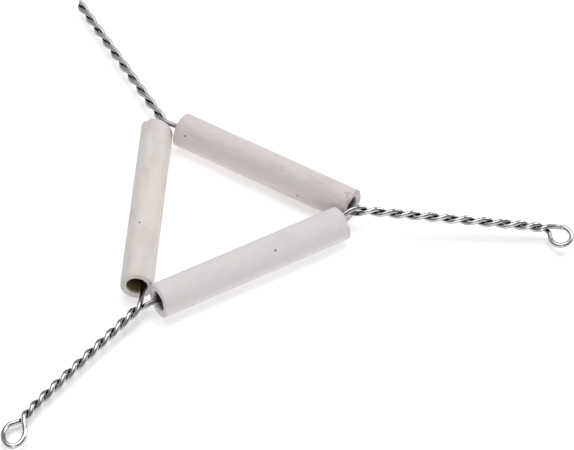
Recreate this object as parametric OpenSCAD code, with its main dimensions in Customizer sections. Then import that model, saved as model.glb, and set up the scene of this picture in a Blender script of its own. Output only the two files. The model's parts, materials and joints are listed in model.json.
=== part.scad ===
// Pipe clay triangle: three clay tubes threaded on one steel wire.
// The wire leaves each corner as a twisted pair. Two pairs end in an eyelet, the third in its two cut ends.
// Millimetres, +Z up. The origin is the middle of the triangle, on the surface that the tubes lie on.
// Sides and corners are counted anticlockwise from above: side 0 is the left tube, 1 the near, 2 the far.
// Corner 0 follows side 0 and its leg points left and near, leg 1 points right, leg 2 left and far.

/* [Clay tubes] */
// Nominal length of a tube
tube_l = 60; // [48:0.5:90]
// How much longer than nominal the left tube was cut
left_cut = 1.4; // [-2:0.1:2]
// How much longer than nominal the near tube was cut
near_cut = -1.1; // [-2:0.1:1]
// How much longer than nominal the far tube was cut
far_cut = -2.5; // [-3:0.1:1]
// Outside diameter of a tube
tube_d = 10; // [9:0.1:13]
// How much thinner the left tube came out
left_thinner = 0.7; // [0:0.1:1]
// Bore of every tube
bore_d = 6; // [5:0.1:7.2]
// Width of the bevel that deburrs each end, outside
rim_bevel = 0.25; // [0.1:0.05:0.5]
// Width of the bevel round each mouth of the bore
mouth_bevel = 0.45; // [0.1:0.05:0.7]

/* [Triangle] */
// How far each tube slides past its neighbour, so that the three ends lap like a pinwheel
lap = 1.7; // [1.2:0.1:1.8]

/* [Wire] */
// Diameter of the wire
wire_d = 1.4; // [1.2:0.05:1.8]
// Space between the two strands of a twisted pair
strand_gap = 0.06; // [0.05:0.01:0.2]
// Least space between the wire and the wall of a bore
bore_clearance = 0.1; // [0.05:0.05:0.3]
// Half turns in the two legs that end in an eyelet
eyelet_leg_turns = 11; // [7:2:15]
// Half turns in the leg that ends in the cut ends
cut_leg_turns = 10; // [6:1:14]
// Length of a half turn in the left near leg
near_half_turn = 4.58; // [4:0.01:6]
// Length of a half turn in the right leg
right_half_turn = 5.08; // [4:0.01:6]
// Length of a half turn in the left far leg
far_half_turn = 5.99; // [4.5:0.01:7]
// Inside diameter of an eyelet, the peg that it was wound on
eyelet_bore = 4.4; // [3.8:0.1:5.4]
// Distance from the last crossing of the strands to the middle of the eyelet
eyelet_reach = 5.3; // [5:0.05:8]

/* [Hidden] */

steel = [0.66, 0.67, 0.69];
left_clay = [0.88, 0.86, 0.84];
near_clay = [0.86, 0.84, 0.85];
far_clay = [0.82, 0.78, 0.77];

// ---- tubes: lengths, diameters and places, one entry a side ----
side_l = [tube_l + left_cut, tube_l + near_cut, tube_l + far_cut];
side_d = [tube_d - left_thinner, tube_d, tube_d];
// Distance from the middle of the triangle to the line of a side
side_out = (tube_l / 2 + tube_d * cos(30) - lap) / sqrt(3);
// Small shifts of a side: outwards at its first and last end, and along itself
first_end_out = [-0.55, 1.75, 0.6];
last_end_out = [0.2, -2.1, 0.05];
side_slide = [-0.65, -1.75, -0.96];

// ---- wire ----
wire_r = wire_d / 2;
// Radius of the circle that the axis of a strand winds on
twist_r = wire_r + strand_gap / 2;
// Play of the wire inside a bore, off the bore's axis
play = bore_d / 2 - wire_r - bore_clearance;
// Where the wire lies in a mouth: share of the play, and angle from the inner side, up positive
first_seat = [[0.2, -60], [0.87, -40], [0.95, -5]];
last_seat = [[0.95, -36], [0.95, 70], [0.2, 190]];

// ---- corners: first crossing of the two strands, from the corner of the ideal triangle ----
meet_in = [0.75, 4.85, 2.95];
meet_side = [0.82, 0.75, -1.36];
meet_lift = [0.1, 1.15, 0.2];
// Turn of a leg from the true bearing, and how far it sinks along its length
leg_turn = [-4.64, -0.2, -0.1];
leg_sink = [1.2, 3.65, 1.4];
leg_turns = [eyelet_leg_turns, eyelet_leg_turns, cut_leg_turns];
half_turn = [near_half_turn, right_half_turn, far_half_turn];
// The last two half turns before an eyelet: half turns wound in besides, and swing of the leg to its left
neck_tighter = [0.27, 0.36, 0];
neck_swing = [0.55, -0.4, 0];
// What each eyelet has more than eyelet_reach, the turn of its middle from the line of its leg, and how
// much it is pulled longer, near to far
reach_more = [0.55, -0.5];
eyelet_turn = [15, -32.5];
eyelet_pull = [1.48, 1.1];
// Slant of the side cutters' cut through the two wire ends, which leaves the leg longer on its right
cut_slant = 0.6;

// Sides of the wire's section, rings in a whole turn of a strand, in a bend and round an eyelet
wire_sides = 8;
turn_rings = 16;
bend_rings = 9;
eyelet_rings = 20;

// ---- plan directions ----
function bearing(deg) = [cos(deg), sin(deg), 0];
function outward(side) = bearing(180 + 120 * side);
function onward(side) = bearing(270 + 120 * side);

// ---- tube ends ----
function end_out(side, last) = last ? last_end_out[side] : first_end_out[side];
function end_point(side, last) =
    outward(side) * (side_out + end_out(side, last))
    + onward(side) * (side_slide[side] + (last ? 0.5 : -0.5) * side_l[side])
    + [0, 0, side_d[side] / 2];
function seat(side, last) = last ? last_seat[side] : first_seat[side];
// Axis of the wire where it passes through a mouth of the bore
function mouth_point(side, last) =
    let (s = seat(side, last), off = s[0] * play)
    end_point(side, last) - outward(side) * off * cos(s[1]) + [0, 0, off * sin(s[1])];
function unit(v) = v / norm(v);
function strand_way(side) = unit(mouth_point(side, true) - mouth_point(side, false));

// ---- legs: origin, way and the two directions across it ----
function next(side) = (side + 1) % 3;
function corner_bearing(k) = 240 + 120 * k;
function leg_start(k) =
    bearing(corner_bearing(k)) * (2 * side_out - meet_in[k])
    + bearing(corner_bearing(k) + 90) * meet_side[k]
    + [0, 0, (mouth_point(k, true)[2] + mouth_point(next(k), false)[2]) / 2 + meet_lift[k]];
function leg_l(k) = (leg_turns[k] - neck_tighter[k]) * half_turn[k];
function leg_way(k) = unit(bearing(corner_bearing(k) + leg_turn[k]) * leg_l(k) - [0, 0, leg_sink[k]]);
function leg_left(k) = bearing(corner_bearing(k) + leg_turn[k] + 90);
function leg_up(k) = cross(leg_way(k), leg_left(k));

// From 0 two half turns before the neck to 1 at the neck
function near_neck(k, s) = max(0, 1 - (leg_l(k) - s) / (2 * half_turn[k]));
function leg_axis(k, s) =
    leg_start(k) + leg_way(k) * s + leg_left(k) * neck_swing[k] * pow(near_neck(k, s), 2);

// A strand's axis at distance s: it winds left-handed. Strand 0 comes from side k, strand 1 goes to the next.
function wind(k, strand, s) =
    90 + 180 * strand - 180 * (s / half_turn[k] + neck_tighter[k] * pow(near_neck(k, s), 2));
function leg_point(k, strand, s) =
    let (a = wind(k, strand, s))
    leg_axis(k, s) + twist_r * (cos(a) * leg_left(k) + sin(a) * leg_up(k));
function leg_tangent(k, strand, s) =
    let (a = wind(k, strand, s), near = near_neck(k, s),
         rise = PI * twist_r * (1 + neck_tighter[k] * near) / half_turn[k])
    unit(leg_way(k) + leg_left(k) * neck_swing[k] * near / half_turn[k]
         + rise * (sin(a) * leg_left(k) - cos(a) * leg_up(k)));

// ---- bends: a cubic curve between two points with given directions ----
function bend(p, p_way, q, q_way, rings) =
    let (grip = 0.38 * norm(q - p), p1 = p + p_way * grip, q1 = q - q_way * grip)
    [for (i = [1:rings]) let (t = i / (rings + 1), u = 1 - t)
        u * u * u * p + 3 * u * u * t * p1 + 3 * u * t * t * q1 + t * t * t * q];
function backwards(list) = [for (i = [len(list) - 1:-1:0]) list[i]];

// Where strand 1 joins the twist, in half turns: it is underneath, so it joins a little later than strand 0
late = [0.25, 0.5, 0.25];
function join(k, strand) = strand * late[k] * half_turn[k];
function strand_points(k, strand) =
    let (from = join(k, strand), rings = ceil((leg_l(k) - from) / half_turn[k] * turn_rings / 2))
    [for (i = [0:rings]) leg_point(k, strand, from + (leg_l(k) - from) * i / rings)];
// From the mouth of the bore out to the twist
function entry_bend(k, strand) =
    let (side = strand == 0 ? k : next(k), last = strand == 0, from = join(k, strand))
    bend(mouth_point(side, last), (last ? 1 : -1) * strand_way(side),
         leg_point(k, strand, from), leg_tangent(k, strand, from), bend_rings);
function outgoing(k, strand) = concat(entry_bend(k, strand), strand_points(k, strand));

// ---- eyelets: out along the strand on top, round the peg, back along the strand underneath ----
peg_r = eyelet_bore / 2 + wire_r;
function neck(k) = leg_axis(k, leg_l(k));
// From the neck to the middle of the eyelet
function neck_to_middle(k) =
    (eyelet_reach + reach_more[k])
    * (cos(eyelet_turn[k]) * leg_way(k) + sin(eyelet_turn[k]) * leg_left(k));
// The same in the plan of a round eyelet, before it is pulled longer
function round_reach(k) = let (v = neck_to_middle(k)) [v[0], v[1] / eyelet_pull[k], 0];
function eyelet_way(k, deg) =
    let (way = unit(round_reach(k)), v = cos(deg) * way + sin(deg) * [-way[1], way[0], 0])
    [v[0], v[1] * eyelet_pull[k], 0];
function eyelet(k) =
    let (end_s = leg_l(k), top = leg_turns[k] % 2, middle = neck(k) + neck_to_middle(k),
         open = acos(peg_r / norm(round_reach(k))),
         round = [for (i = [0:eyelet_rings])
             let (t = i / eyelet_rings, deg = (180 - open) * (1 - 2 * t))
             middle + peg_r * eyelet_way(k, deg) + leg_up(k) * twist_r * (1 - 2 * t) * 0.8],
         first_way = unit(eyelet_way(k, 90 - open)), last_way = -unit(eyelet_way(k, open - 90)))
    concat(
        bend(leg_point(k, top, end_s), leg_tangent(k, top, end_s), round[0], first_way, 3),
        round,
        bend(round[eyelet_rings], last_way, leg_point(k, 1 - top, end_s), -leg_tangent(k, 1 - top, end_s), 3));
// With an odd count of half turns, the strand on top at the neck is strand 1
function eyelet_leg(k) =
    let (first_on_top = leg_turns[k] % 2 == 0)
    concat(outgoing(k, 0), first_on_top ? eyelet(k) : backwards(eyelet(k)), backwards(outgoing(k, 1)));
function inside_bore(side) =
    let (a = mouth_point(side, false), b = mouth_point(side, true))
    [for (t = [0, 1 / 3, 2 / 3, 1]) a + (b - a) * t];

wire_path = concat(
    backwards(outgoing(2, 1)), inside_bore(0), eyelet_leg(0), inside_bore(1), eyelet_leg(1),
    inside_bore(2), outgoing(2, 0));

// ---- sweep of the round section along the path ----
function path_way(path, i) = unit(path[min(i + 1, len(path) - 1)] - path[max(i - 1, 0)]);
function ring(path, i) =
    let (way = path_way(path, i), flat = unit(cross([0, 0, 1], way)), up = cross(way, flat),
         cut = i == 0 || i == len(path) - 1 ? cut_slant : 0)
    [for (j = [0:wire_sides - 1]) let (deg = 360 * (j + 0.5) / wire_sides)
        path[i] + wire_r * (cos(deg) * (flat - cut * way) + sin(deg) * up)];

module sweep(path) {
    rings = len(path);
    points = [for (i = [0:rings - 1]) each ring(path, i)];
    skin = [for (i = [0:rings - 2], j = [0:wire_sides - 1])
        let (a = i * wire_sides + j, b = i * wire_sides + (j + 1) % wire_sides)
        [a, b, b + wire_sides, a + wire_sides]];
    first_cap = [for (j = [wire_sides - 1:-1:0]) j];
    last_cap = [for (j = [0:wire_sides - 1]) (rings - 1) * wire_sides + j];
    polyhedron(points, concat([first_cap, last_cap], skin), convexity = 10);
}

module wire_frame() {
    color(steel) sweep(wire_path);
}

// A tube standing on its first end, bevelled at both ends
module tube(l, d) {
    rotate_extrude($fn = 72)
    polygon([
        [bore_d / 2 + mouth_bevel, 0], [d / 2 - rim_bevel, 0], [d / 2, rim_bevel],
        [d / 2, l - rim_bevel], [d / 2 - rim_bevel, l], [bore_d / 2 + mouth_bevel, l],
        [bore_d / 2, l - mouth_bevel], [bore_d / 2, mouth_bevel]]);
}

module side_tube(side) {
    from = end_point(side, false);
    way = end_point(side, true) - from;
    translate(from)
    rotate([0, 0, atan2(way[1], way[0])])
    rotate([0, 90, 0])
    tube(norm(way), side_d[side]);
}

module left_tube() {
    color(left_clay) side_tube(0);
}

module near_tube() {
    color(near_clay) side_tube(1);
}

module far_tube() {
    color(far_clay) side_tube(2);
}

wire_frame();
left_tube();
near_tube();
far_tube();
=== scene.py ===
"""Pipe clay triangle: the looks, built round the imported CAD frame."""

import json
import math

import bpy
import numpy as np
from mathutils import Matrix, Vector, noise


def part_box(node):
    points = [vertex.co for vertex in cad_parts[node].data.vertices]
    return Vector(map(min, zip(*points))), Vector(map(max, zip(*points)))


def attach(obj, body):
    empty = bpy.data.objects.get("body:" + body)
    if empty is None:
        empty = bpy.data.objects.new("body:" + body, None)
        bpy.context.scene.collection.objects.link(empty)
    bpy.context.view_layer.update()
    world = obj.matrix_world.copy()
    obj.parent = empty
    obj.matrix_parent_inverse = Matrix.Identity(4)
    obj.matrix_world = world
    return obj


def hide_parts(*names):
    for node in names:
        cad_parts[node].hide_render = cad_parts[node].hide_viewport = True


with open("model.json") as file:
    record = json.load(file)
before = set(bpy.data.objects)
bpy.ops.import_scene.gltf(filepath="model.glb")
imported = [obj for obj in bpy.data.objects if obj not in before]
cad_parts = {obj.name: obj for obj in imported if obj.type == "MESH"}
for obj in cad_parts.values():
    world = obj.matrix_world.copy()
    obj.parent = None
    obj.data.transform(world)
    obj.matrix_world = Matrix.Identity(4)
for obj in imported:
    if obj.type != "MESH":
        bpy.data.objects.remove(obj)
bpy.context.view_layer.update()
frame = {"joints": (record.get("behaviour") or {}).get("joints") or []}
MM = 0.001
PI = math.pi

# ---------------------------------------------------------------------------
# Camera: a long lens, a little right of the middle, 46 degrees above the bench
# ---------------------------------------------------------------------------
AZIMUTH, ELEVATION, ROLL = (math.radians(v) for v in (1.93, 45.73, 1.06))
CAMERA_DISTANCE = 843 * MM
CAMERA_TARGET = Vector((18.66, -4.33, 5.0)) * MM
SENSOR_WIDTH = 36.0
LENS = 188.1533


def add_camera():
    """The camera looks at the target along `ahead`, turned about it by the roll."""
    ahead = Vector((-math.sin(AZIMUTH) * math.cos(ELEVATION),
                    math.cos(AZIMUTH) * math.cos(ELEVATION), -math.sin(ELEVATION)))
    level = Vector((math.cos(AZIMUTH), math.sin(AZIMUTH), 0))
    upright = level.cross(ahead)
    right = level * math.cos(ROLL) + upright * math.sin(ROLL)
    up = upright * math.cos(ROLL) - level * math.sin(ROLL)
    data = bpy.data.cameras.new("camera")
    data.sensor_width = SENSOR_WIDTH
    data.lens = LENS
    data.clip_start = 0.01
    data.clip_end = 10
    camera = bpy.data.objects.new("camera", data)
    bpy.context.scene.collection.objects.link(camera)
    turn = Matrix((right, up, -ahead)).transposed().to_4x4()
    camera.matrix_world = Matrix.Translation(CAMERA_TARGET - ahead * CAMERA_DISTANCE) @ turn
    bpy.context.scene.camera = camera


add_camera()


# ---------------------------------------------------------------------------
# Light
# ---------------------------------------------------------------------------
def add_area(name, place, size, watts, colour=(1, 1, 1), size_y=None):
    """A rectangular light, in metres and watts, aimed at the origin."""
    data = bpy.data.lights.new(name, "AREA")
    data.shape = "RECTANGLE"
    data.size = size
    data.size_y = size_y or size
    data.energy = watts
    data.color = colour
    light = bpy.data.objects.new(name, data)
    bpy.context.scene.collection.objects.link(light)
    light.location = place
    light.rotation_euler = (-Vector(place)).to_track_quat("-Z", "Y").to_euler()


def add_world(colour, strength):
    world = bpy.data.worlds.new("studio")
    bpy.context.scene.world = world
    world.use_nodes = True
    background = world.node_tree.nodes["Background"]
    background.inputs["Color"].default_value = colour
    background.inputs["Strength"].default_value = strength


add_area("key", (0.55, 0.45, 0.55), 0.28, 2.2, (1, 0.995, 0.985))
add_area("overhead", (-0.05, 0.2, 0.8), 0.7, 4.6)
add_area("fill", (0.05, -0.9, 0.32), 0.7, 1.8, size_y=0.25)
add_world((0.97, 0.98, 1, 1), 0.24)
bpy.context.scene.view_settings.view_transform = "Standard"


# ---------------------------------------------------------------------------
# Node helpers
# ---------------------------------------------------------------------------
class Nodes:
    """A material's node tree, with one short call for each kind of node used here."""

    def __init__(self, name):
        self.material = bpy.data.materials.new(name)
        self.material.use_nodes = True
        self.tree = self.material.node_tree
        self.shader = self.tree.nodes["Principled BSDF"]

    def put(self, socket, value):
        if isinstance(value, bpy.types.NodeSocket):
            self.tree.links.new(value, socket)
        elif hasattr(socket.default_value, "__len__") and not hasattr(value, "__len__"):
            socket.default_value = (value,) * len(socket.default_value)
        else:
            socket.default_value = value

    def attribute(self, name, output="Fac"):
        node = self.tree.nodes.new("ShaderNodeAttribute")
        node.attribute_name = name
        return node.outputs[output]

    def noise(self, vector, scale, detail=3.0, roughness=0.55, distortion=0.0):
        node = self.tree.nodes.new("ShaderNodeTexNoise")
        self.put(node.inputs["Vector"], vector)
        node.inputs["Scale"].default_value = scale
        node.inputs["Detail"].default_value = detail
        node.inputs["Roughness"].default_value = roughness
        node.inputs["Distortion"].default_value = distortion
        return node.outputs["Fac"]

    def math(self, operation, a, b):
        node = self.tree.nodes.new("ShaderNodeMath")
        node.operation = operation
        self.put(node.inputs[0], a)
        self.put(node.inputs[1], b)
        return node.outputs[0]

    def ramp(self, value, low, high, to_low=0.0, to_high=1.0):
        node = self.tree.nodes.new("ShaderNodeMapRange")
        node.interpolation_type = "SMOOTHSTEP"
        for name, v in (("Value", value), ("From Min", low), ("From Max", high),
                        ("To Min", to_low), ("To Max", to_high)):
            self.put(node.inputs[name], v)
        return node.outputs["Result"]

    def mix(self, factor, a, b):
        """A colour between a and b. The node's first colour sockets are the seventh and eighth."""
        node = self.tree.nodes.new("ShaderNodeMix")
        node.data_type = "RGBA"
        self.put(node.inputs["Factor"], factor)
        for socket, v in ((node.inputs[6], a), (node.inputs[7], b)):
            self.put(socket, v if isinstance(v, bpy.types.NodeSocket) else (*v, 1))
        return node.outputs[2]

    def vector(self, operation, a, b, output="Vector"):
        node = self.tree.nodes.new("ShaderNodeVectorMath")
        node.operation = operation
        self.put(node.inputs[0], a)
        node.inputs[1].default_value = b
        return node.outputs[output]

    def scaled(self, vector, by):
        return self.vector("MULTIPLY", vector, by)

    def bump(self, *layers):
        """layers: (height socket, distance in metres), joined one on another."""
        normal = None
        for height, distance in layers:
            node = self.tree.nodes.new("ShaderNodeBump")
            node.inputs["Distance"].default_value = distance
            self.put(node.inputs["Height"], height)
            if normal:
                self.put(node.inputs["Normal"], normal)
            normal = node.outputs["Normal"]
        self.put(self.shader.inputs["Normal"], normal)

    def set(self, **values):
        for name, value in values.items():
            self.put(self.shader.inputs[name.replace("_", " ")], value)


def new_mesh(name, points, faces, material, smooth=True):
    mesh = bpy.data.meshes.new(name)
    mesh.from_pydata([tuple(p) for p in points], [], faces)
    mesh.polygons.foreach_set("use_smooth", [smooth] * len(mesh.polygons))
    mesh.materials.append(material)
    mesh.update()
    piece = bpy.data.objects.new(name, mesh)
    bpy.context.scene.collection.objects.link(piece)
    return piece


def add_attribute(piece, name, values, kind="FLOAT"):
    layer = piece.data.attributes.new(name, kind, "POINT")
    layer.data.foreach_set("vector" if kind == "FLOAT_VECTOR" else "value", np.ravel(values))


def clamp(value):
    return max(0.0, min(1.0, value))


# ---------------------------------------------------------------------------
# The wire's route, in millimetres: the same rules as the CAD wire, with more points
#
# Sides 0, 1 and 2 are the left, near and far tubes. Legs 0, 1 and 2 point left and near, right, and left
# and far. The wire runs from side k's last end into leg k, and back from it into side k + 1's first end.
# ---------------------------------------------------------------------------
TUBE_L, TUBE_D, LAP = 60, 10, 1.7
SIDE_L = (TUBE_L + 1.4, TUBE_L - 1.1, TUBE_L - 2.5)
SIDE_D = (TUBE_D - 0.7, TUBE_D, TUBE_D)
BORE_R, WIRE_R = 3.0, 0.7
STRAND_GAP, BORE_CLEARANCE = 0.06, 0.1
TWIST_R = WIRE_R + STRAND_GAP / 2
PLAY = BORE_R - WIRE_R - BORE_CLEARANCE
SIDE_OUT = (TUBE_L / 2 + TUBE_D * math.cos(math.radians(30)) - LAP) / math.sqrt(3)
# Shifts of a side: outwards at its first and last end, and along itself
FIRST_OUT, LAST_OUT = (-0.55, 1.75, 0.6), (0.2, -2.1, 0.05)
SIDE_SLIDE = (-0.65, -1.75, -0.96)
# Where the wire lies in a mouth: share of the play, and angle from the inner side, up positive
FIRST_SEAT = ((0.2, -60), (0.87, -40), (0.95, -5))
LAST_SEAT = ((0.95, -36), (0.95, 70), (0.2, 190))
# First crossing of a leg's strands, from the corner of the ideal triangle
MEET_IN, MEET_SIDE, MEET_LIFT = (0.75, 4.85, 2.95), (0.82, 0.75, -1.36), (0.1, 1.15, 0.2)
# Turn of a leg from the true bearing, its sink over its length, its half turns and the length of each
LEG_TURN, LEG_SINK = (-4.64, -0.2, -0.1), (1.2, 3.65, 1.4)
LEG_TURNS, HALF_TURN = (11, 11, 10), (4.58, 5.08, 5.99)
# The last two half turns before an eyelet: half turns wound in besides, and swing of the leg to its left
NECK_TIGHTER, NECK_SWING = (0.27, 0.36, 0), (0.55, -0.40, 0)
# An eyelet: its middle from the last crossing, the turn of that line, how much longer it is pulled, the
# peg, and how much of the strands' height it climbs
EYELET_REACH, EYELET_TURN, EYELET_PULL = (5.85, 4.8), (15, -32.5), (1.48, 1.1)
EYELET_BORE = 4.4
PEG_R = EYELET_BORE / 2 + WIRE_R
EYELET_RISE = 0.8
# Where strand 1 joins the twist, in half turns
LATE = (0.25, 0.5, 0.25)
# Slant of the two cut ends, and how far a bend's handles reach
CUT_SLANT = 0.6
GRIP = 0.38

UP = np.array((0.0, 0.0, 1.0))
TURN_RINGS = 44
BEND_RINGS = 26
EYELET_RINGS = 84
NECK_RINGS = 10
BORE_RINGS = 24
WIRE_SIDES = 32


def sin(deg):
    return math.sin(math.radians(deg))


def cos(deg):
    return math.cos(math.radians(deg))


def bearing(deg):
    return np.array((cos(deg), sin(deg), 0))


def unit(v):
    return v / np.linalg.norm(v)


def outward(side):
    return bearing(180 + 120 * side)


def onward(side):
    return bearing(270 + 120 * side)


def end_point(side, last):
    out = (LAST_OUT if last else FIRST_OUT)[side]
    along = SIDE_SLIDE[side] + (0.5 if last else -0.5) * SIDE_L[side]
    return outward(side) * (SIDE_OUT + out) + onward(side) * along + UP * SIDE_D[side] / 2


def mouth_point(side, last):
    share, deg = (LAST_SEAT if last else FIRST_SEAT)[side]
    off = share * PLAY
    return end_point(side, last) - outward(side) * off * cos(deg) + UP * off * sin(deg)


def strand_way(side):
    return unit(mouth_point(side, True) - mouth_point(side, False))


def following(side):
    return (side + 1) % 3


class Leg:
    """Two strands wound on each other about an axis. s is the distance from the leg's start."""

    def __init__(self, k):
        self.k = k
        corner = 240 + 120 * k
        self.half = HALF_TURN[k]
        self.length = (LEG_TURNS[k] - NECK_TIGHTER[k]) * self.half
        low = (mouth_point(k, True)[2] + mouth_point(following(k), False)[2]) / 2
        self.start = (bearing(corner) * (2 * SIDE_OUT - MEET_IN[k])
                      + bearing(corner + 90) * MEET_SIDE[k] + UP * (low + MEET_LIFT[k]))
        self.way = unit(bearing(corner + LEG_TURN[k]) * self.length - UP * LEG_SINK[k])
        self.left = bearing(corner + LEG_TURN[k] + 90)
        self.up = np.cross(self.way, self.left)

    def near_neck(self, s):
        return max(0, 1 - (self.length - s) / (2 * self.half))

    def wind(self, strand, s):
        turns = s / self.half + NECK_TIGHTER[self.k] * self.near_neck(s) ** 2
        return 90 + 180 * strand - 180 * turns

    def axis(self, s):
        return self.start + self.way * s + self.left * NECK_SWING[self.k] * self.near_neck(s) ** 2

    def point(self, strand, s):
        a = self.wind(strand, s)
        return self.axis(s) + TWIST_R * (cos(a) * self.left + sin(a) * self.up)

    def tangent(self, strand, s):
        a = self.wind(strand, s)
        near = self.near_neck(s)
        rise = PI * TWIST_R * (1 + NECK_TIGHTER[self.k] * near) / self.half
        return unit(self.way + self.left * NECK_SWING[self.k] * near / self.half
                    + rise * (sin(a) * self.left - cos(a) * self.up))

    def join(self, strand):
        return strand * LATE[self.k] * self.half


def bend(p, p_way, q, q_way, rings):
    """The points between p and q on a cubic curve that leaves along p_way and comes in along q_way."""
    grip = GRIP * np.linalg.norm(q - p)
    p1, q1 = p + p_way * grip, q - q_way * grip
    t = np.arange(1, rings + 1)[:, None] / (rings + 1)
    u = 1 - t
    return list(u ** 3 * p + 3 * u * u * t * p1 + 3 * u * t * t * q1 + t ** 3 * q)


def outgoing(leg, strand):
    """From a mouth of the bore out along one strand of a leg."""
    k = leg.k
    last = strand == 0
    side = k if last else following(k)
    s0 = leg.join(strand)
    rings = math.ceil((leg.length - s0) / leg.half * TURN_RINGS / 2)
    entry = bend(mouth_point(side, last), (1 if last else -1) * strand_way(side),
                 leg.point(strand, s0), leg.tangent(strand, s0), BEND_RINGS)
    return entry + [leg.point(strand, s0 + (leg.length - s0) * i / rings) for i in range(rings + 1)]


def eyelet(leg):
    """The turn round a peg that joins a leg's two strands: a ring pulled out sideways."""
    k = leg.k
    end_s = leg.length
    top = LEG_TURNS[k] % 2
    out = EYELET_REACH[k] * (cos(EYELET_TURN[k]) * leg.way + sin(EYELET_TURN[k]) * leg.left)
    middle = leg.axis(end_s) + out
    flat = np.array((out[0], out[1] / EYELET_PULL[k], 0))
    away = unit(flat)
    beside = np.array((-away[1], away[0], 0))
    opening = math.degrees(math.acos(PEG_R / np.linalg.norm(flat)))

    def way(deg):
        v = cos(deg) * away + sin(deg) * beside
        return np.array((v[0], v[1] * EYELET_PULL[k], 0))

    turn = []
    for i in range(EYELET_RINGS + 1):
        t = i / EYELET_RINGS
        deg = (180 - opening) * (1 - 2 * t)
        turn.append(middle + PEG_R * way(deg) + leg.up * TWIST_R * (1 - 2 * t) * EYELET_RISE)
    first, last = unit(way(90 - opening)), -unit(way(opening - 90))
    return (bend(leg.point(top, end_s), leg.tangent(top, end_s), turn[0], first, NECK_RINGS) + turn
            + bend(turn[-1], last, leg.point(1 - top, end_s), -leg.tangent(1 - top, end_s), NECK_RINGS))


def eyelet_leg(leg):
    loop = eyelet(leg)
    if LEG_TURNS[leg.k] % 2:
        loop = loop[::-1]
    return outgoing(leg, 0) + loop + outgoing(leg, 1)[::-1]


def inside_bore(side):
    a, b = mouth_point(side, False), mouth_point(side, True)
    return [a + (b - a) * i / BORE_RINGS for i in range(BORE_RINGS + 1)]


LEGS = [Leg(k) for k in range(3)]


def wire_route():
    """From the tip of leg 2 round the triangle and back to it."""
    return np.array(outgoing(LEGS[2], 1)[::-1] + inside_bore(0) + eyelet_leg(LEGS[0]) + inside_bore(1)
                    + eyelet_leg(LEGS[1]) + inside_bore(2) + outgoing(LEGS[2], 0))


# ---------------------------------------------------------------------------
# The wire
# ---------------------------------------------------------------------------
# Rings nearer than this along the wire belong to the same strand. Every second ring is looked at.
OWN_STRETCH = 4.5
PARTNER_STEP = 2
NO_PARTNER = 99.0
# Painted shade in the groove between strands starts where two strands' axes come within GROOVE_FROM, and is
# full GROOVE_BAND nearer.
GROOVE_FROM, GROOVE_BAND = 2.3, 0.7
GROOVE_SHARPNESS = 2.2
# Leg 2 is duller, from this far along +Y.
DULL_FROM, DULL_OVER = 28, 5
# A point counts as underneath, and gets painted shade, once its normal points less than this upwards.
UNDER_FROM = 0.25
# The wire is darker within this distance of a mouth.
MOUTH_DARK_REACH = 6.0
# Unevenness of the drawn wire, as a share of its radius, and how fine it is along and round the wire
DRAWN_DEPTH, DRAWN_ALONG, DRAWN_ROUND = 0.008, 0.35, 1.7
DOUBLED = 1e-6


def wire_path():
    """The route without doubled points, how far along it each point is, and its direction there."""
    route = wire_route()
    steps = np.linalg.norm(np.diff(route, axis=0), axis=1)
    route = route[np.r_[True, steps > DOUBLED]]
    along = np.r_[0, np.cumsum(np.linalg.norm(np.diff(route, axis=0), axis=1))]
    ways = np.gradient(route, axis=0)
    return route, along, ways / np.linalg.norm(ways, axis=1)[:, None]


def nearest_partner(route, along):
    """For each ring, the vector to the nearest other strand, and its distance."""
    picks = np.arange(0, len(route), PARTNER_STEP)
    partner = np.zeros_like(route)
    distance = np.full(len(route), NO_PARTNER)
    for i, centre in enumerate(route):
        gap = route[picks] - centre
        d = np.linalg.norm(gap, axis=1)
        d[np.abs(along[picks] - along[i]) < OWN_STRETCH] = NO_PARTNER
        j = int(np.argmin(d))
        partner[i], distance[i] = gap[j], d[j]
    return partner, distance


def wire_faces(rings):
    """Quads round the wire and a face over each cut end."""
    faces = []
    for i in range(rings - 1):
        for j in range(WIRE_SIDES):
            a, b = i * WIRE_SIDES + j, i * WIRE_SIDES + (j + 1) % WIRE_SIDES
            faces.append((a, b, b + WIRE_SIDES, a + WIRE_SIDES))
    for base, turn in ((0, 1), ((rings - 1) * WIRE_SIDES, -1)):
        faces.append(tuple(base + j for j in range(WIRE_SIDES))[::-turn])
    return faces


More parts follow.
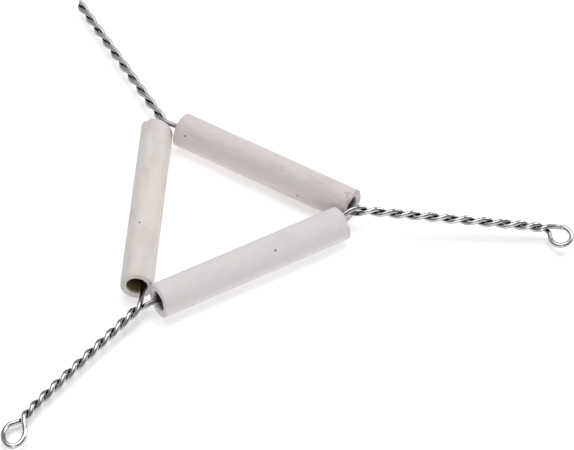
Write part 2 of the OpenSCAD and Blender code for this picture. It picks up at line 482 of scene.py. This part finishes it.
def build_wire(material):
    """The swept wire. Its attributes tell the material where each point lies and what is near it."""
    route, along, ways = wire_path()
    partner, distance = nearest_partner(route, along)
    mouths = np.array([mouth_point(side, last) for side in range(3) for last in (False, True)])
    side = unit(np.cross(UP, ways[0]))
    points, ring_pos = [], []
    looks = {"groove_shade": [], "dullness": [], "underside_shade": [], "mouth_dark": []}
    for i, centre in enumerate(route):
        side = unit(side - ways[i] * np.dot(side, ways[i]))
        lift = np.cross(ways[i], side)
        at_end = i in (0, len(route) - 1)
        dull = clamp((centre[1] - DULL_FROM) / DULL_OVER)
        mouth_dark = max(0.0, 1 - float(np.linalg.norm(mouths - centre, axis=1).min()) / MOUTH_DARK_REACH)
        near = clamp((GROOVE_FROM - distance[i]) / GROOVE_BAND)
        for j in range(WIRE_SIDES):
            a = 2 * PI * j / WIRE_SIDES
            x, y = math.cos(a), math.sin(a)
            out = x * side + y * lift
            drawn = noise.noise(Vector((along[i] * DRAWN_ALONG, DRAWN_ROUND * x, DRAWN_ROUND * y)))
            r = WIRE_R * (1 + DRAWN_DEPTH * drawn)
            p = centre + r * out
            if at_end:
                p = p - ways[i] * CUT_SLANT * r * float(np.dot(out, unit(np.cross(UP, ways[i]))))
            points.append(p * MM)
            ring_pos.append((r * x, r * y, along[i]))
            facing = float(np.dot(out, partner[i])) / distance[i]
            # Painted shade on the side of a strand that faces the other strand.
            looks["groove_shade"].append(near * max(0.0, facing) ** GROOVE_SHARPNESS)
            looks["dullness"].append(dull)
            looks["underside_shade"].append(clamp(UNDER_FROM - float(out[2])))
            looks["mouth_dark"].append(mouth_dark)
    piece = new_mesh("twisted_wire", points, wire_faces(len(route)), material)
    add_attribute(piece, "ring_pos", ring_pos, "FLOAT_VECTOR")
    for name, values in looks.items():
        add_attribute(piece, name, values)
    return piece


def wire_material():
    """Dull galvanised steel, streaked along the wire, with painted shade underneath and in the grooves
    between strands, and darker near the mouths.
    """
    n = Nodes("galvanised_wire")
    pos = n.attribute("ring_pos", "Vector")
    groove_shade = n.attribute("groove_shade")
    dullness = n.attribute("dullness")
    underside_shade = n.attribute("underside_shade")
    mouth_dark = n.attribute("mouth_dark")
    drawn = n.noise(n.scaled(pos, (1, 1, 0.03)), 3.2, 3, 0.55)
    blotch = n.noise(n.scaled(pos, (1, 1, 0.35)), 0.55, 2, 0.5)
    light = n.mix(n.ramp(drawn, 0.3, 0.7), (0.44, 0.44, 0.445), (0.63, 0.63, 0.63))
    patchy = n.mix(n.ramp(blotch, 0.45, 0.7, 0.0, 0.6), light, (0.42, 0.42, 0.44))
    body = n.mix(dullness, patchy, (0.44, 0.43, 0.45))
    # Painted shade on the underside of the wire.
    body = n.mix(n.ramp(underside_shade, 0.05, 0.8, 0.0, 0.8), body, (0.14, 0.135, 0.13))
    # Darker towards a mouth.
    body = n.mix(n.ramp(mouth_dark, 0.0, 1.0, 0.0, 0.75), body, (0.12, 0.105, 0.095))
    # Painted shade: the grooves between strands go near black.
    n.set(Base_Color=n.mix(n.ramp(groove_shade, 0.16, 0.38), body, (0.010, 0.009, 0.008)))
    n.shader.inputs["Metallic"].default_value = 1.0
    duller = n.math("MULTIPLY", dullness, 0.28)
    rough = n.math("ADD", n.ramp(blotch, 0.35, 0.7, 0.17, 0.28), duller)
    n.set(Roughness=n.math("ADD", rough, n.ramp(groove_shade, 0.25, 0.75, 0.0, 0.35)))
    n.bump((drawn, 0.00005))
    return n.material


wire = build_wire(wire_material())
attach(wire, "wire")
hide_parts("wire_frame")

# ---------------------------------------------------------------------------
# The clay tubes, in millimetres. An angle round a tube is 0 at the top and 90 towards UP x way.
# ---------------------------------------------------------------------------
TUBE_TURNS = 180
BODY_RINGS = 300
BORE_BODY_RINGS = 60
RIM_STEPS, FACE_STEPS, MOUTH_STEPS = 4, 6, 5
RIM_ROUND = 0.30
MOUTH_ROUND = 0.42
# The part of the mouth's rounding that gets the pale lip.
LIP_SHARE = 0.7
OUTSIDE, END_FACE, BORE = 0, 1, 2
# What a cut does to an end fades away over this length.
CUT_REACH = 5.0
# A chip's length, and in half widths its edge, and how steeply it falls off round and along the tube
CHIP_REACH, CHIP_WIDTHS, CHIP_FALL, CHIP_FADE = 1.6, 1.6, 1.6, 0.7
CHIP_INWARD = 0.8
# Chips and pits stay this far outside the bore's wall.
CHIP_WALL, PIT_WALL = 0.9, 1.0
# A pit's edge and its fall, in radii of the pit
PIT_WIDTHS, PIT_FALL = 2.5, 0.8
# How strongly the pits and the mark's pits get painted shade
PIT_SHADE, MARK_SHADE = 1.0, 0.38


def tube_axes(node, joint_name):
    """A packed tube's first end, direction, length and radius, from its joint and its box."""
    joint = next(j for j in frame["joints"] if j["name"] == joint_name)
    way = np.array(joint["axis"], float)
    way /= np.linalg.norm(way)
    lo, hi = (np.array(v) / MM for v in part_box(node))
    size = hi - lo
    radius = size[2] / 2
    main = 0 if abs(way[0]) > 0.5 else 1
    length = (size[main] - 2 * radius * abs(way[1 - main])) / abs(way[main])
    centre = np.array(joint["pos_m"]) / MM
    return centre - way * length / 2, way, length, radius


def rounded(start, end, corner, steps):
    """(x, r) points of a rounded corner from start to end."""
    out = []
    for i in range(steps + 1):
        t = i / steps
        u = 1 - t
        out.append(tuple(u * u * a + 2 * u * t * c + t * t * b for a, b, c in zip(start, end, corner)))
    return out


def tube_profile(length, radius):
    """The section's outline as (x, r, kind): the outside, the last end, the bore, the first end."""
    face_out, face_in = radius - RIM_ROUND, BORE_R + MOUTH_ROUND
    face = [face_out + (face_in - face_out) * i / FACE_STEPS for i in range(1, FACE_STEPS)]
    body, bore = length - 2 * RIM_ROUND, length - 2 * MOUTH_ROUND
    rows = [(RIM_ROUND + body * i / BODY_RINGS, radius, OUTSIDE) for i in range(BODY_RINGS + 1)]
    last_rim = rounded((length - RIM_ROUND, radius), (length, face_out), (length, radius), RIM_STEPS)
    last_lip = rounded((length, face_in), (length - MOUTH_ROUND, BORE_R), (length, BORE_R), MOUTH_STEPS)
    first_lip = rounded((MOUTH_ROUND, BORE_R), (0, face_in), (0, BORE_R), MOUTH_STEPS)
    first_rim = rounded((0, face_out), (RIM_ROUND, radius), (0, radius), RIM_STEPS)
    rows += [(x, r, END_FACE) for x, r in last_rim[1:]]
    rows += [(length, r, END_FACE) for r in face]
    rows += [(x, r, END_FACE) for x, r in last_lip]
    rows += [(length - MOUTH_ROUND - bore * i / BORE_BODY_RINGS, BORE_R, BORE)
             for i in range(1, BORE_BODY_RINGS)]
    rows += [(x, r, END_FACE) for x, r in first_lip]
    rows += [(0, r, END_FACE) for r in face[::-1]]
    rows += [(x, r, END_FACE) for x, r in first_rim[:-1]]
    return rows


def angle_gap(a, b):
    return abs((a - b + 180) % 360 - 180)


def uneven(x, deg, seed):
    """How far the hand-rolled surface stands out, in millimetres."""
    c, s = cos(deg), sin(deg)
    broad = noise.noise(Vector((x / 13, 0.55 * c, 0.55 * s + seed * 9.1)))
    small = noise.noise(Vector((x / 3.0, 2.2 * c, 2.2 * s + seed * 5.7)))
    return 0.035 * broad + 0.012 * small


def pitted(x, deg, radius, pits):
    """How deep the pits are at a place."""
    total = 0.0
    for px, pdeg, spot, depth, _ in pits:
        d = math.hypot(x - px, math.radians(angle_gap(deg, pdeg)) * radius)
        if d < spot * PIT_WIDTHS:
            total += depth * math.exp(-(d / (PIT_FALL * spot)) ** 2)
    return total


def cut_push(deg, end, cut, seed):
    """How far a cut end stands out at an angle."""
    rough, more, more_top, more_side = cut
    c, s = cos(deg), sin(deg)
    coarse = noise.noise(Vector((2.1 * c, 2.1 * s, seed * 3.3 + end * 7.7)))
    fine = noise.noise(Vector((5.5 * c, 5.5 * s, seed * 4.1 + end * 5.3)))
    return more + more_top * c + more_side * s + rough * (coarse + 0.5 * fine)


def chipped(away, deg, end, chips):
    """How deep the chips are at a place near an end."""
    total = 0.0
    for chip_end, chip_deg, half, depth in chips:
        g = angle_gap(deg, chip_deg) / half
        if chip_end == end and g < CHIP_WIDTHS and away < CHIP_REACH:
            total += depth * math.exp(-g * g * CHIP_FALL) * (1 - away / CHIP_REACH) ** CHIP_FADE
    return total


def tube_shift(x, r, kind, deg, length, radius, tube):
    """How far a point of the plain tube moves along the axis and outwards."""
    dx, dr = 0.0, 0.0
    if kind != BORE:
        dr = uneven(x, deg, tube["seed"])
    if kind != BORE and r > BORE_R + PIT_WALL:
        dr -= pitted(x, deg, radius, tube["pits"])
    for end, sign, away in ((0, -1, x), (1, 1, length - x)):
        if away < CUT_REACH:
            fade = (1 - away / CUT_REACH) ** 2
            dx += sign * cut_push(deg, end, tube["cuts"][end], tube["seed"]) * fade
        if away < CHIP_REACH and r > BORE_R + CHIP_WALL:
            bite = chipped(away, deg, end, tube["chips"]) * (r - BORE_R) / (radius - BORE_R)
            dr -= CHIP_INWARD * bite
            dx -= sign * bite
    return dx, dr


def build_tube(tube, material):
    """A tube's shown mesh. Its attributes are the place on the plain tube, the bore and the nearer end."""
    first, way, length, radius = tube_axes(tube["node"], tube["joint"])
    across = np.cross(UP, way)
    rows = tube_profile(length, radius)
    lip = BORE_R + MOUTH_ROUND * LIP_SHARE
    points, local, bore, from_end = [], [], [], []
    for x, r, kind in rows:
        local_r = r if kind == BORE else radius
        inside = {OUTSIDE: 0.0, END_FACE: 0.5 if r < lip else 0.0, BORE: 1.0}[kind]
        for j in range(TUBE_TURNS):
            deg = 360 * j / TUBE_TURNS
            c, s = cos(deg), sin(deg)
            dx, dr = tube_shift(x, r, kind, deg, length, radius, tube)
            p = first + way * (x + dx) + (r + dr) * (c * UP + s * across)
            p[2] = max(p[2], 0.0)
            points.append(p * MM)
            local.append((x, local_r * c, local_r * s))
            bore.append(inside)
            from_end.append(min(x, length - x))
    faces = []
    for i in range(len(rows)):
        k = (i + 1) % len(rows)
        for j in range(TUBE_TURNS):
            m = (j + 1) % TUBE_TURNS
            faces.append((i * TUBE_TURNS + j, i * TUBE_TURNS + m, k * TUBE_TURNS + m, k * TUBE_TURNS + j))
    piece = new_mesh(tube["name"], points, faces, material)
    add_attribute(piece, "local", local, "FLOAT_VECTOR")
    add_attribute(piece, "bore", bore)
    add_attribute(piece, "from_end", from_end)
    return piece


# How much paler the grain is, and the colours that the three tubes share
PALE_GRAIN = 1.09
SPECK_COLOUR = (0.25, 0.20, 0.18)
PIT_SHADE_COLOUR = (0.035, 0.025, 0.025)
LIP_COLOUR = (0.88, 0.86, 0.83)
# Where a pit's painted shade is full and where it ends, in radii of the pit
SPOT_FULL, SPOT_EDGE = 0.45, 1.15


def clay_material(tube):
    """Dry clay: broad tints, drag marks, grain, a grubby end, a pale lip, a bore going over to painted
    shade deeper in, and painted shade in the pits.
    """
    n = Nodes(tube["name"] + "_clay")
    base, dark, seed = tube["base"], tube["dark"], tube["seed"]
    radius = tube_axes(tube["node"], tube["joint"])[3]
    pos = n.attribute("local", "Vector")
    bore = n.attribute("bore")
    from_end = n.attribute("from_end")
    p = n.vector("ADD", pos, (seed * 31.7, seed * 11.3, seed * 5.9))
    broad = n.noise(n.scaled(p, (0.45, 1, 1)), 0.16, 3, 0.55)
    patch = n.noise(n.scaled(p, (0.55, 1, 1)), 0.38, 4, 0.6, 0.4)
    smudge = n.noise(n.scaled(p, (0.4, 1, 1)), 0.23, 3, 0.5, 0.3)
    drag = n.noise(n.scaled(p, (0.12, 1, 1)), 1.2, 3, 0.6)
    grain = n.noise(p, 7.0, 4, 0.65)
    speck = n.noise(p, 2.4, 2, 0.5)
    pale = tuple(min(1, v * PALE_GRAIN) for v in base)
    colour = n.mix(n.ramp(broad, 0.40, 0.60), base, tube["warm"])
    colour = n.mix(n.ramp(patch, 0.46, 0.64), colour, tube["cool"])
    colour = n.mix(n.ramp(smudge, 0.50, 0.70, 0.0, 0.75), colour, dark)
    colour = n.mix(n.ramp(drag, 0.45, 0.75, 0.0, 0.22), colour, dark)
    colour = n.mix(n.ramp(grain, 0.3, 0.75, 0.0, 0.3), colour, pale)
    colour = n.mix(n.ramp(speck, 0.735, 0.78, 0.0, 0.5), colour, SPECK_COLOUR)
    colour = n.mix(n.ramp(from_end, 0.0, 2.2, 0.35, 0.0), colour, dark)
    # The bore: at the mouth the near colour, a brown stain in the left tube and dark grey in the others;
    # deeper in, painted shade, near black.
    inside = n.mix(n.ramp(from_end, 0.3, 7.0), tube["near"], tube["bore_shade"])
    colour = n.mix(n.ramp(bore, 0.1, 0.45, 0.0, 0.85), colour, LIP_COLOUR)
    colour = n.mix(n.ramp(bore, 0.5, 0.95), colour, inside)
    # Painted shade in each pit.
    for x, deg, spot, _, shade_strength in tube["pits"]:
        place = (x, radius * cos(deg), radius * sin(deg))
        apart = n.vector("DISTANCE", pos, place, "Value")
        shade = n.ramp(apart, SPOT_FULL * spot, SPOT_EDGE * spot, shade_strength, 0.0)
        colour = n.mix(shade, colour, PIT_SHADE_COLOUR)
    n.set(Base_Color=colour)
    n.set(Roughness=n.ramp(grain, 0.3, 0.7, 0.7, 0.88))
    n.shader.inputs["Specular IOR Level"].default_value = 0.35
    n.bump((drag, 0.00005), (patch, 0.00012), (grain, 0.00008))
    return n.material


# cuts: for the first end and the last, its roughness, and how much longer it is, more at the top, more at
#   the side.
# chips: the end, the angle, half the width in degrees, the depth.
# pits: the place along the tube, the angle, the radius, the depth, the strength of the painted shade.
T_MARK = ((1.9, 8.7, 0.36, 0.12, MARK_SHADE), (1.35, 4.7, 0.40, 0.12, MARK_SHADE),
          (0.8, 0.5, 0.32, 0.12, MARK_SHADE), (1.05, 13.0, 0.36, 0.12, MARK_SHADE),
          (0.75, 21.0, 0.32, 0.12, MARK_SHADE))
TUBES = (
    {"name": "clay_left", "node": "left_tube", "joint": "left_tube_turn", "body": "left",
     "slot": "left_clay", "seed": 1,
     "base": (0.755, 0.705, 0.67), "warm": (0.76, 0.69, 0.645), "cool": (0.735, 0.70, 0.665),
     "dark": (0.64, 0.58, 0.55), "near": (0.36, 0.25, 0.12), "bore_shade": (0.02, 0.015, 0.01),
     "cuts": ((0.20, 0.75, 0.0, -0.9), (0.10, 0.0, 0.0, 0.0)),
     "chips": ((0, -40, 14, 0.35), (1, -70, 16, 0.35)),
     "pits": ((41.16, -13.5, 0.32, 0.12, PIT_SHADE),)},
    {"name": "clay_near", "node": "near_tube", "joint": "near_tube_turn", "body": "near",
     "slot": "near_clay", "seed": 2,
     "base": (0.74, 0.70, 0.70), "warm": (0.74, 0.69, 0.68), "cool": (0.72, 0.69, 0.74),
     "dark": (0.68, 0.63, 0.64), "near": (0.16, 0.15, 0.14), "bore_shade": (0.03, 0.03, 0.03),
     "cuts": ((0.10, 0.0, 0.0, 0.0), (0.12, 0.28, 0.0, -0.28)),
     "chips": ((1, -50.7, 13, 0.45),),
     "pits": ((35.75, -37.2, 0.34, 0.12, PIT_SHADE),)},
    {"name": "clay_far", "node": "far_tube", "joint": "far_tube_turn", "body": "far",
     "slot": "far_clay", "seed": 3,
     "base": (0.70, 0.635, 0.615), "warm": (0.70, 0.62, 0.605), "cool": (0.68, 0.65, 0.64),
     "dark": (0.61, 0.54, 0.53), "near": (0.20, 0.18, 0.17), "bore_shade": (0.03, 0.03, 0.03),
     "cuts": ((0.16, 0.1, 0.1, 0.0), (0.05, 0.36, 0.03, -0.05)),
     "chips": ((0, 40, 16, 0.3),),
     "pits": ((53.73, 57.2, 0.30, 0.14, PIT_SHADE), (15.06, 88, 0.30, 0.12, PIT_SHADE)) + T_MARK},
)

for tube in TUBES:
    piece = build_tube(tube, clay_material(tube))
    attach(piece, tube["body"])
    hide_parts(tube["node"])

# ---------------------------------------------------------------------------
# Floor
# ---------------------------------------------------------------------------
FLOOR_HALF = 3.0
FLOOR_Z = -0.0002


def add_floor():
    look = Nodes("pale_floor")
    look.set(Base_Color=(0.9, 0.9, 0.9, 1), Roughness=0.9)
    look.set(Emission_Color=(1, 1, 1, 1), Emission_Strength=0.36)
    corners = [(x * FLOOR_HALF, y * FLOOR_HALF, FLOOR_Z) for x, y in ((-1, -1), (1, -1), (1, 1), (-1, 1))]
    return new_mesh("floor", corners, [(0, 1, 2, 3)], look.material, smooth=False)


add_floor()
